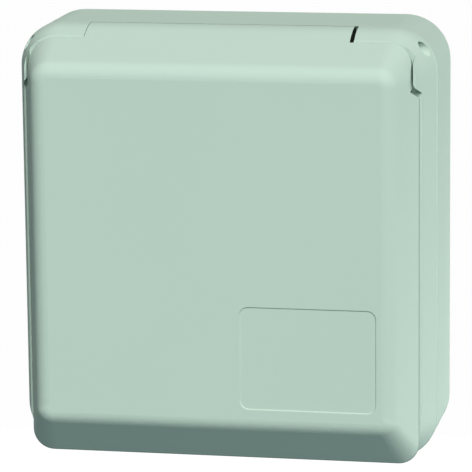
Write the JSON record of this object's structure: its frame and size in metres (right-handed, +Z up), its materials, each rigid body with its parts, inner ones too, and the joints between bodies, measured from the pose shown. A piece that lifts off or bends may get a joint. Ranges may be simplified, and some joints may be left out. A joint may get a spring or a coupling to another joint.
{
  "type": "wall-mounted industrial socket",
  "caption": "Square wall box with a drafted front frame, a top-hinged sprung lid over the whole front and a round keyed multi-pole power socket behind it.",
  "frame": {"origin": "centre of the back face, on the wall", "axes": "+Y into the wall, so the front faces -Y; +Z up; +X to the right as seen from the front"},
  "size_m": [0.17, 0.0733, 0.1782],
  "materials": {
    "shell": "satin moulded, pale grey-green",
    "seal_rubber": "matt black",
    "grommet_rubber": "matt dark grey",
    "zinc_steel": "zinc plated",
    "pin_steel": "drawn bright",
    "spring_steel": "drawn wire",
    "collar_red": "satin moulded red",
    "carrier_black": "satin moulded black",
    "contact_brass": "bright"
  },
  "bodies": {
    "housing": {"rear_housing": "shell", "housing_seal": "seal_rubber", "front_frame": "shell", "frame_screws": "zinc_steel", "hinge_pin": "pin_steel", "lid_spring": "spring_steel", "socket_sleeve": "collar_red", "socket_gasket": "seal_rubber", "socket_screws": "zinc_steel", "contact_carrier": "carrier_black", "carrier_base": "carrier_black", "carrier_screws": "zinc_steel", "contact_earth": "contact_brass", "contact_line_1": "contact_brass", "contact_line_2": "contact_brass", "contact_line_3": "contact_brass", "contact_neutral": "contact_brass", "terminal_screws": "zinc_steel", "cable_grommet": "grommet_rubber"},
    "lid": {"lid": "shell", "lid_seal": "seal_rubber"}
  },
  "joints": [
    {"name": "lid_hinge", "type": "hinge", "parent": "housing", "child": "lid", "pos_m": [0, -0.04355, 0.0802], "axis": [-1, 0, 0], "range_deg": [0, 95], "stiffness_Nm_per_rad": 0.06, "springref_deg": -28.65, "deforming": ["lid_spring"]}
  ]
}
